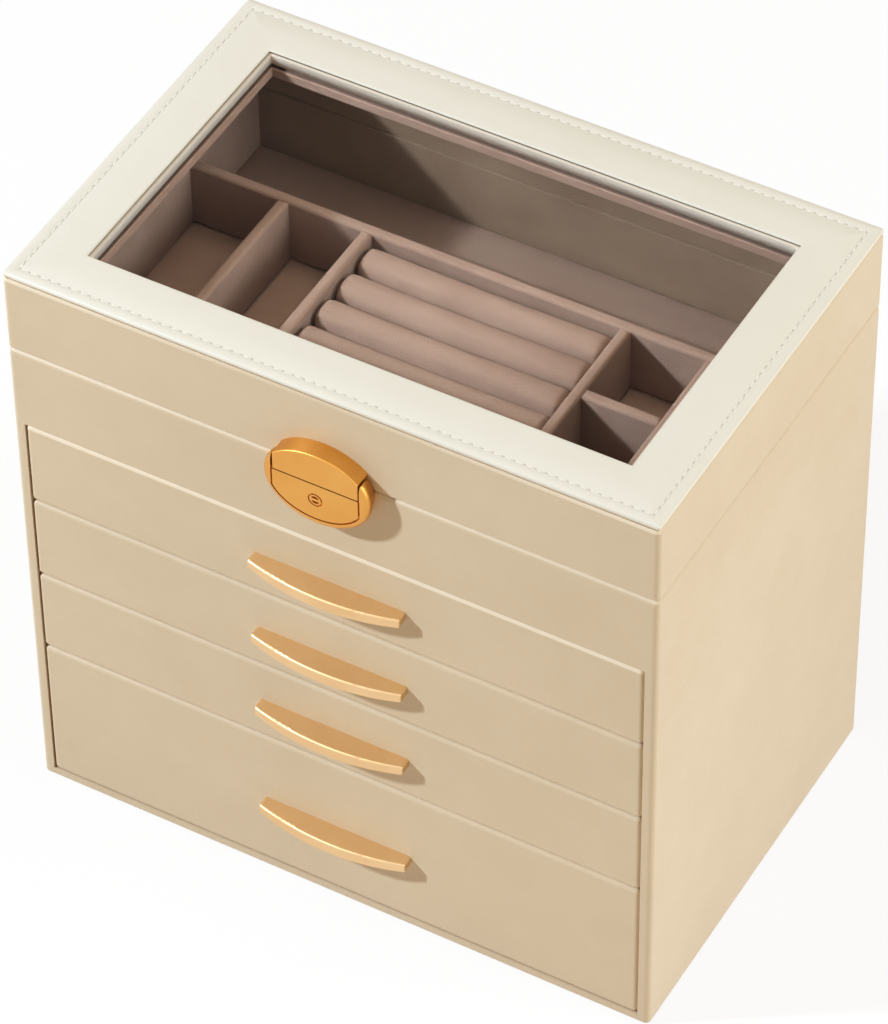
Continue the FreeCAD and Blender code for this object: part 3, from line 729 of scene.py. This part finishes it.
def velvet_board(bm, low, high, softness):
    """An upright board covered in velvet: a box whose top edges are well rounded."""
    made = add_block(bm, low, high)
    edges = {edge for vert in made["verts"] for edge in vert.link_edges}
    top_edges = [edge for edge in edges if all(vert.co.z > high.z - MM for vert in edge.verts)]
    bevel(bm, top_edges, softness, 4, "EDGES")


def harden(piece):
    """Keeps flat sides flat under smooth shading."""
    weighted = piece.modifiers.new("even_shading", "WEIGHTED_NORMAL")
    weighted.keep_sharp = True


divider_softness = 1.3 * MM
for node in ("tray_long_divider", "tray_cross_dividers", "tray_small_dividers"):
    boards = bmesh.new()
    for low, high in solids_of(node):
        velvet_board(boards, low, high, divider_softness)
    piece = make_piece(boards, node + "_velvet", tray_velvet)
    harden(piece)
    settle(piece, "case", "velvet", node)

pad_low, pad_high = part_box("tray_floor_pad")
wall_low, wall_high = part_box("tray_wall_cards")
wall_thick = pad_low.x - wall_low.x
wall_section = [(0.0, wall_low.z), (0.0, wall_high.z - 0.3 * MM), (wall_thick * 0.25, wall_high.z)]
wall_section += [(wall_thick * 0.7, wall_high.z - 0.05 * MM), (wall_thick, wall_high.z - 0.4 * MM)]
wall_section += [(wall_thick, wall_low.z + 0.1 * MM)]
wall_corner = 0.3 * MM
wall = bmesh.new()
rings = stack_loops(wall, wall_low, wall_high, wall_section, wall_corner)
bridge(wall, rings + rings[:1])
wall_velvet = make_piece(wall, "tray_wall_velvet", tray_velvet)
harden(wall_velvet)
settle(wall_velvet, "case", "velvet", "tray_wall_cards")

# %% Padded floor
cushion_swell = 0.5 * MM
cushion_corner = 0.4 * MM


def floor_cushion(bm, low, high, bottom, top):
    """A thin pad: upright sides, a soft edge, and a top that rises towards the middle."""
    half = min(high.x - low.x, high.y - low.y) / 2
    section = [(0.0, bottom), (0.0, top - 0.9 * MM), (0.3 * MM, top - 0.3 * MM), (1.0 * MM, top)]
    for reach, share in ((0.3, 0.55), (0.6, 0.9), (0.9, 1.0)):
        section.append((half * reach, top + cushion_swell * share))
    loops = stack_loops(bm, low, high, section, cushion_corner)
    bridge(bm, loops)
    for ends in (loops[0], loops[-1]):
        bmesh.ops.edgeloop_fill(bm, edges=ends)


def gaps_between(start, boards, end):
    """The spans left free between boards that stand in a row."""
    edges = [start] + [edge for board in boards for edge in board] + [end]
    return list(zip(edges[::2], edges[1::2]))


long_low, long_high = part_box("tray_long_divider")
cross_boards = [(low.x, high.x) for low, high in solids_of("tray_cross_dividers")]
small_boards = sorted((low.y, high.y) for low, high in solids_of("tray_small_dividers"))
columns = gaps_between(pad_low.x, cross_boards, pad_high.x)
rows = gaps_between(pad_low.y, small_boards, long_low.y)
small_column = 3
small_left, small_right = columns.pop(small_column)
bays = [((pad_low.x, long_high.y), (pad_high.x, pad_high.y))]
bays += [((left, pad_low.y), (right, long_low.y)) for left, right in columns]
bays += [((small_left, front), (small_right, rear)) for front, rear in rows]
cushions = bmesh.new()
for (left, front), (right, rear) in bays:
    bay_low = Vector((left, front, 0))
    bay_high = Vector((right, rear, 0))
    floor_cushion(cushions, bay_low, bay_high, pad_low.z, pad_high.z)
tray_floor = make_piece(cushions, "tray_floor_velvet", tray_velvet)
settle(tray_floor, "case", "velvet", "tray_floor_pad")

# %% [markdown]
# ## Ring rolls
#
# The rolls are rods of foam in velvet, side by side, with a slit between each and the next. One roll is
# modelled as a box with a round back, remeshed into even faces, and blown up with the cloth solver, as
# stuffing would; the others are copies, every second one turned round so that no two neighbours match.

# %% One roll, stuffed
roll_boxes = sorted(solids_of("ring_rolls"), key=lambda box: box[0].y)
roll_shrink = 0.5 * MM
roll_voxel = 1.9 * MM
roll_pressure = 4.0
roll_most = 0.9 * MM
roll_frames = 20
roll_foot = 2 * MM
roll_back_share = 0.4
roll_end_softness = 1.6 * MM
roll_room = Vector((0.1, 0.15, 0.0)) * MM


def roll_blank(low, high):
    """A roll before it is stuffed: a box with a round back and soft ends."""
    bm = bmesh.new()
    add_block(bm, low, high)
    back_edges = [edge for edge in bm.edges if all(vert.co.z > high.z - MM for vert in edge.verts)
                  and abs(edge.verts[0].co.y - edge.verts[1].co.y) < MM]
    bevel(bm, back_edges, (high.y - low.y) * roll_back_share, 6, "EDGES")
    end_edges = [edge for edge in bm.edges if abs(edge.verts[0].co.x - edge.verts[1].co.x) < 1e-6
                 and not all(vert.co.z < low.z + 1e-6 for vert in edge.verts)]
    bevel(bm, end_edges, roll_end_softness, 3, "EDGES")
    return make_piece(bm, "roll_blank", tray_velvet)


def even_faces(piece, voxel):
    """Replaces a piece's mesh by one with even, square faces."""
    remesh = piece.modifiers.new("even_faces", "REMESH")
    remesh.mode = "VOXEL"
    remesh.voxel_size = voxel
    view = bpy.context.evaluated_depsgraph_get()
    mesh = bpy.data.meshes.new_from_object(piece.evaluated_get(view))
    piece.modifiers.remove(remesh)
    piece.data = mesh


def stuff(piece, pressure, most, pinned_below):
    """Blows a piece up with the cloth solver; no point moves further than most, and its foot stays put."""
    rest = [vert.co.copy() for vert in piece.data.vertices]
    foot = piece.vertex_groups.new(name="foot")
    foot.add([vert.index for vert in piece.data.vertices if vert.co.z < pinned_below], 1.0, "REPLACE")
    cloth = piece.modifiers.new("stuffing", "CLOTH")
    cloth.settings.quality = 6
    cloth.settings.use_pressure = True
    cloth.settings.uniform_pressure_force = pressure
    cloth.settings.vertex_group_mass = foot.name
    cloth.settings.effector_weights.gravity = 0.0
    cloth.point_cache.frame_end = roll_frames
    for number in range(1, roll_frames + 1):
        bpy.context.scene.frame_set(number)
    view = bpy.context.evaluated_depsgraph_get()
    blown = [vert.co.copy() for vert in piece.evaluated_get(view).data.vertices]
    piece.modifiers.remove(cloth)
    piece.vertex_groups.remove(foot)
    bpy.context.scene.frame_set(1)
    for vert, start, end in zip(piece.data.vertices, rest, blown):
        move = end - start
        if move.length > most:
            move = move.normalized() * most
        vert.co = start + move
    furthest = max((end - start).length for start, end in zip(rest, blown))
    print("stuffing moved points by up to", round(furthest / MM, 2), "mm")


def keep_inside(piece, low, high):
    """Flattens a piece where it would leave its space, as neighbours press it flat."""
    for vert in piece.data.vertices:
        vert.co = [min(max(value, least), most) for value, least, most in zip(vert.co, low, high)]


roll_low, roll_high = roll_boxes[0]
inner = Vector((roll_shrink, roll_shrink, 0.0))
roll = roll_blank(roll_low + inner, roll_high - inner - Vector((0, 0, roll_shrink)))
even_faces(roll, roll_voxel)
stuff(roll, roll_pressure, roll_most, roll_low.z + roll_foot)
keep_inside(roll, roll_low - roll_room, roll_high + roll_room)

# %% All the rolls
rolls = bmesh.new()
for number, (low, high) in enumerate(roll_boxes):
    first_new = len(rolls.verts)
    rolls.from_mesh(roll.data)
    rolls.verts.ensure_lookup_table()
    fresh = rolls.verts[first_new:]
    middle = (roll_low + roll_high) / 2
    if number % 2:
        bmesh.ops.rotate(rolls, verts=fresh, cent=middle, matrix=Matrix.Rotation(math.pi, 3, "Z"))
    bmesh.ops.translate(rolls, verts=fresh, vec=(low + high) / 2 - middle)
ring_rolls = make_piece(rolls, "ring_roll_velvet", tray_velvet)
bpy.data.objects.remove(roll)
rounder = ring_rolls.modifiers.new("rounder", "SUBSURF")
rounder.levels = 1
rounder.render_levels = 1
settle(ring_rolls, "case", "velvet", "ring_rolls")

# %% [markdown]
# ## Drawer linings
#
# Each drawer is lined with one sheet of velvet that covers the floor, climbs the walls and wraps over
# their top edges, so that no raw board shows when the drawer is open. It is again a stack of loops: over
# the wall tops from the outside, down the inside, round a soft corner, and across the floor.

# %% Linings
lining_corner = 0.8 * MM
lining_card = 1.0 * MM
lining_wrap = 0.35 * MM
lining_play = 0.05 * MM


def drawer_lining(number):
    name = "drawer_%d_" % number
    low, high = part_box(name + "lining")
    walls_low, walls_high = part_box(name + "walls")
    floor_z = low.z + lining_card
    over_low = Vector((walls_low.x + lining_play, low.y, 0))
    over_high = Vector((walls_high.x - lining_play, walls_high.y - lining_play, 0))
    bm = bmesh.new()
    loops = []
    for inset, z in ((0.0, high.z), (0.0, high.z + lining_wrap * 0.4), (0.3 * MM, high.z + lining_wrap)):
        loop_low, loop_high = inset_by(over_low, over_high, inset)
        loop_low.y = low.y
        loops.append(rounded_loop(bm, loop_low, loop_high, z, lining_corner))
    down = [(-0.6, high.z + lining_wrap * 0.9), (-0.1, high.z + lining_wrap * 0.2), (0.0, high.z - 0.8 * MM)]
    for inset, rise in ((0.0, 2.2), (0.25, 0.9), (1.0, 0.15), (2.6, 0.0), (14.0, 0.25), (40.0, 0.4)):
        down.append((inset, floor_z + rise * MM))
    section = [(lining_card + inset * MM, z) for inset, z in down]
    loops += stack_loops(bm, low, high, section, lining_corner)
    bridge(bm, loops)
    bmesh.ops.edgeloop_fill(bm, edges=loops[-1])
    return make_piece(bm, name + "lining_velvet", tray_velvet)


for number in drawer_numbers:
    settle(drawer_lining(number), "drawer_%d" % number, "velvet", "drawer_%d_lining" % number)

# %% [markdown]
# ## Hinge screws
#
# The screws at the back are small pan heads with a cross recess. A grid of seven by seven faces, pulled
# from a square to a disc, has a row and a column of faces just where the recess goes: they are pushed in
# together.

# %% Screw heads
head_grid = 7
head_height = 1.1 * MM
head_dome = 0.35 * MM
recess_depth = 0.5 * MM
recess_reach = 0.75


def cross_head(bm, middle_x, middle_z, seat_y, top_y, radius):
    """A pan head with a cross recess, facing the back."""
    disc = bmesh.new()
    bmesh.ops.create_grid(disc, x_segments=head_grid, y_segments=head_grid, size=radius)
    for vert in disc.verts:
        away = vert.co.length
        if away > 0:
            vert.co *= max(abs(vert.co.x), abs(vert.co.y)) / away
        vert.co.z = head_dome * (1 - (vert.co.length / radius) ** 2)
    cell = radius / head_grid
    crossed = []
    for face in disc.faces:
        spot = face.calc_center_median()
        near, far = sorted((abs(spot.x), abs(spot.y)))
        if near < cell and far < radius * recess_reach:
            crossed.append(face)
    sunk = bmesh.ops.extrude_face_region(disc, geom=crossed)
    bmesh.ops.delete(disc, geom=crossed, context="FACES_ONLY")
    sunk_verts = [item for item in sunk["geom"] if isinstance(item, bmesh.types.BMVert)]
    bmesh.ops.translate(disc, verts=sunk_verts, vec=(0, 0, -recess_depth))
    rim = [edge for edge in disc.edges if edge.is_boundary]
    skirt = bmesh.ops.extrude_edge_only(disc, edges=rim)
    skirt_verts = [item for item in skirt["geom"] if isinstance(item, bmesh.types.BMVert)]
    bmesh.ops.translate(disc, verts=skirt_verts, vec=(0, 0, seat_y - top_y + head_dome))
    seat = Matrix.Translation((middle_x, top_y - head_dome, middle_z))
    disc.transform(seat @ Matrix.Rotation(-math.pi / 2, 4, "X"))
    whole = bpy.data.meshes.new("head")
    disc.to_mesh(whole)
    disc.free()
    bm.from_mesh(whole)
    bpy.data.meshes.remove(whole)


for node, body in (("hinge_case_screws", "case"), ("hinge_lid_screws", "lid")):
    heads = bmesh.new()
    for low, high in solids_of(node):
        centre = (low + high) / 2
        cross_head(heads, centre.x, centre.z, high.y - head_height, high.y, (high.x - low.x) / 2)
    settle(make_piece(heads, node + "_heads", pin_steel), body, "steel", node)

# %% [markdown]
# ## Camera
#
# The camera looks from the front right, about 45 degrees down, through a long lens, so that the upright
# edges close in only a little towards the foot. It aims at the middle of the box and leans by less than a
# degree.

# %% Camera
camera_turn = math.radians(30.0)
camera_rise = math.radians(45.31)
camera_lean = math.radians(-0.81)
camera_distance = 1.8504
camera_aim = Vector((-0.0009, -0.0010, 0.1147))
camera_lens = 200.33

level = math.cos(camera_rise)
back = Vector((math.sin(camera_turn) * level, -math.cos(camera_turn) * level, math.sin(camera_rise)))
camera_data = bpy.data.cameras.new("camera")
camera_data.lens = camera_lens
camera_data.sensor_width = 36.0
camera = bpy.data.objects.new("camera", camera_data)
bpy.context.scene.collection.objects.link(camera)
camera.rotation_mode = "QUATERNION"
camera.location = camera_aim + back * camera_distance
lean = Matrix.Rotation(camera_lean, 3, "Z").to_quaternion()
camera.rotation_quaternion = (-back).to_track_quat("-Z", "Y") @ lean
bpy.context.scene.camera = camera
print("camera at", [round(value, 3) for value in camera.location])

# %% [markdown]
# ## Light, floor and background
#
# A fairly small key lamp stands at the front left and draws crisp shadows. A wide soft lamp on the right
# lights the side wall, another overhead reaches the floor of the tray, and the world fills the rest.
# Brightness is given as the share of white that a surface facing the lamp would reach, which is easier to
# judge than watts. The background is white only to the eye and to mirrors: the Light Path node keeps that
# white off the box.

# %% Lamps


def lamp(name, towards, distance, size, brightness, colour):
    """A square lamp in a direction from the box; brightness 1 turns a white card facing it white."""
    data = bpy.data.lights.new(name, "AREA")
    data.shape = "SQUARE"
    data.size = size
    data.energy = brightness * math.pi ** 2 * distance ** 2
    data.color = colour
    made = bpy.data.objects.new(name, data)
    bpy.context.scene.collection.objects.link(made)
    direction = Vector(towards).normalized()
    made.location = box_middle + direction * distance
    made.rotation_mode = "QUATERNION"
    made.rotation_quaternion = (-direction).to_track_quat("-Z", "Y")


box_middle = (cad_box[0] + cad_box[1]) / 2
lamp("key_lamp", towards=(-0.67, -0.51, 0.58), distance=2.2, size=0.12, brightness=0.85,
     colour=(0.84, 0.98, 1.16))
lamp("side_lamp", towards=(0.95, 0.05, 0.3), distance=1.8, size=1.2, brightness=0.66,
     colour=(0.9, 1.0, 1.1))
lamp("top_lamp", towards=(0.3, 0.2, 1.0), distance=1.8, size=0.9, brightness=0.14,
     colour=(1.05, 0.96, 0.86))
print("lamps placed round", [round(value, 3) for value in box_middle])

# %% World and floor
fill_colour = (1.0, 0.72, 0.4, 1.0)
fill_strength = 0.31
floor_lift = 0.86


def looked_at(tree):
    """1 for rays from the camera, from a mirror or through glass, 0 for rays that gather light."""
    path = add_node(tree, "LightPath").outputs
    direct = combine(tree, "MAXIMUM", path["Is Camera Ray"], path["Is Glossy Ray"])
    return combine(tree, "MAXIMUM", direct, path["Is Transmission Ray"])


world = bpy.data.worlds.new("studio")
bpy.context.scene.world = world
world.use_nodes = True
sky = world.node_tree
bounces = add_node(sky, "LightPath").outputs["Diffuse Depth"]
unscattered = combine(sky, "LESS_THAN", bounces, 0.5)
shown = combine(sky, "MULTIPLY", looked_at(sky), unscattered)
fill = add_node(sky, "Background", {"Color": fill_colour, "Strength": fill_strength})
white = add_node(sky, "Background", {"Color": (1.0, 1.0, 1.0, 1.0), "Strength": 1.0})
either = add_node(sky, "MixShader", {0: shown, 1: fill.outputs[0], 2: white.outputs[0]})
sky.links.new(either.outputs["Shader"], sky.nodes["World Output"].inputs["Surface"])

floor_half = 4.0
floor_mesh = bmesh.new()
bmesh.ops.create_grid(floor_mesh, x_segments=1, y_segments=1, size=floor_half)
floor_data = bpy.data.meshes.new("floor")
floor_mesh.to_mesh(floor_data)
floor_mesh.free()
floor = bpy.data.objects.new("floor", floor_data)
bpy.context.scene.collection.objects.link(floor)
floor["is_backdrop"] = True


def floor_finish():
    """Pale warm paper that takes the shadow; camera, mirrors and glass see it lifted nearly to white."""
    constants = {"Roughness": 0.9, "Specular IOR Level": 0.1}
    material, tree, shader, place = start_finish("floor_paper", constants)
    seen = looked_at(tree)
    drift = use_group(tree, slow_drift, place, Patches_per_metre=1.5)
    warm = blend_colours(tree, drift["Tone"], paint(214, 198, 178), paint(218, 202, 182))
    tree.links.new(blend_colours(tree, seen, warm, paint(255, 255, 255)), shader.inputs["Base Color"])
    lift = combine(tree, "MULTIPLY", seen, floor_lift)
    glow = add_node(tree, "Emission", {"Color": (1.0, 1.0, 1.0, 1.0), "Strength": 1.0})
    lifted = add_node(tree, "MixShader", {0: lift, 1: shader.outputs["BSDF"], 2: glow.outputs[0]})
    tree.links.new(lifted.outputs["Shader"], tree.nodes["Material Output"].inputs["Surface"])
    return material


floor_data.materials.append(floor_finish())
bpy.context.scene.view_settings.view_transform = "Standard"
print("floor and world ready")

# %% Sizes and finish
dressed_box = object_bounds()
growth = [round((dressed - plain) / MM, 2) for plain, dressed in zip(cad_box[1], dressed_box[1])]
print("box grew by", growth, "mm at the high corner")
